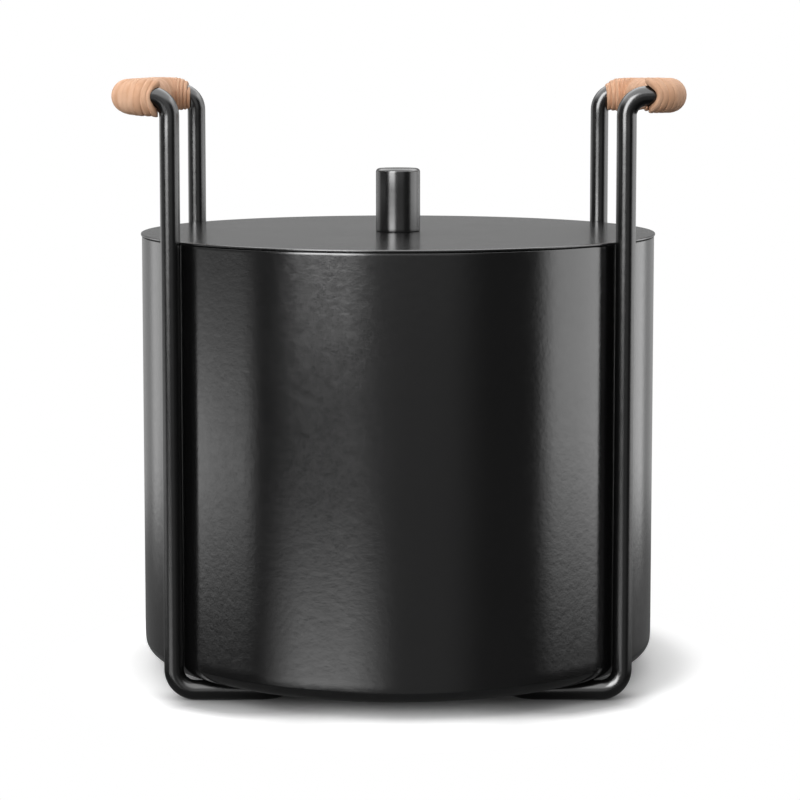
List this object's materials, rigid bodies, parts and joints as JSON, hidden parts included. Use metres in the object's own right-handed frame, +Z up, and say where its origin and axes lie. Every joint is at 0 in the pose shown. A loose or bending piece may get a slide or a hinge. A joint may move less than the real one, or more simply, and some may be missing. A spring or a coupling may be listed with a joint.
{
  "type": "kindling box",
  "caption": "Round steel kindling bucket with a flat lift-off lid and knob, standing in a bent round-bar cradle whose tops form two leather-wound carrying grips.",
  "frame": {"origin": "middle of the foot on the floor, on the bucket's axis", "axes": "+Z up along the bucket's axis, X from the left grip to the right grip, the front faces -Y"},
  "size_m": [0.3214, 0.3012, 0.3473],
  "materials": {
    "coated_bar": "satin black powder coat",
    "coated_weld": "satin black powder coat over a weld bead",
    "bare_weld": "ground weld",
    "leather_cord": "natural vegetable-tanned leather cord",
    "coated_sheet": "satin black powder coat, fine grain",
    "coated_lid": "satin black powder coat, fine grain",
    "coated_knob": "satin black powder coat",
    "plated_steel": "zinc plated"
  },
  "bodies": {
    "cradle": {"front_bar": "coated_bar", "rear_bar": "coated_bar", "centre_weld": "coated_weld", "bucket_welds": "coated_weld", "left_grip_weld": "bare_weld", "right_grip_weld": "bare_weld", "left_grip_cord": "leather_cord", "right_grip_cord": "leather_cord", "bucket_wall": "coated_sheet", "bucket_base": "coated_sheet"},
    "lid": {"lid_disc": "coated_lid", "lid_ring": "coated_lid", "knob": "coated_knob", "knob_screw": "plated_steel", "knob_washer": "plated_steel"}
  },
  "joints": [
    {"name": "lid_lift", "type": "slide", "parent": "cradle", "child": "lid", "axis": [0, 0, 1], "range_m": [0, 0.065]}
  ]
}
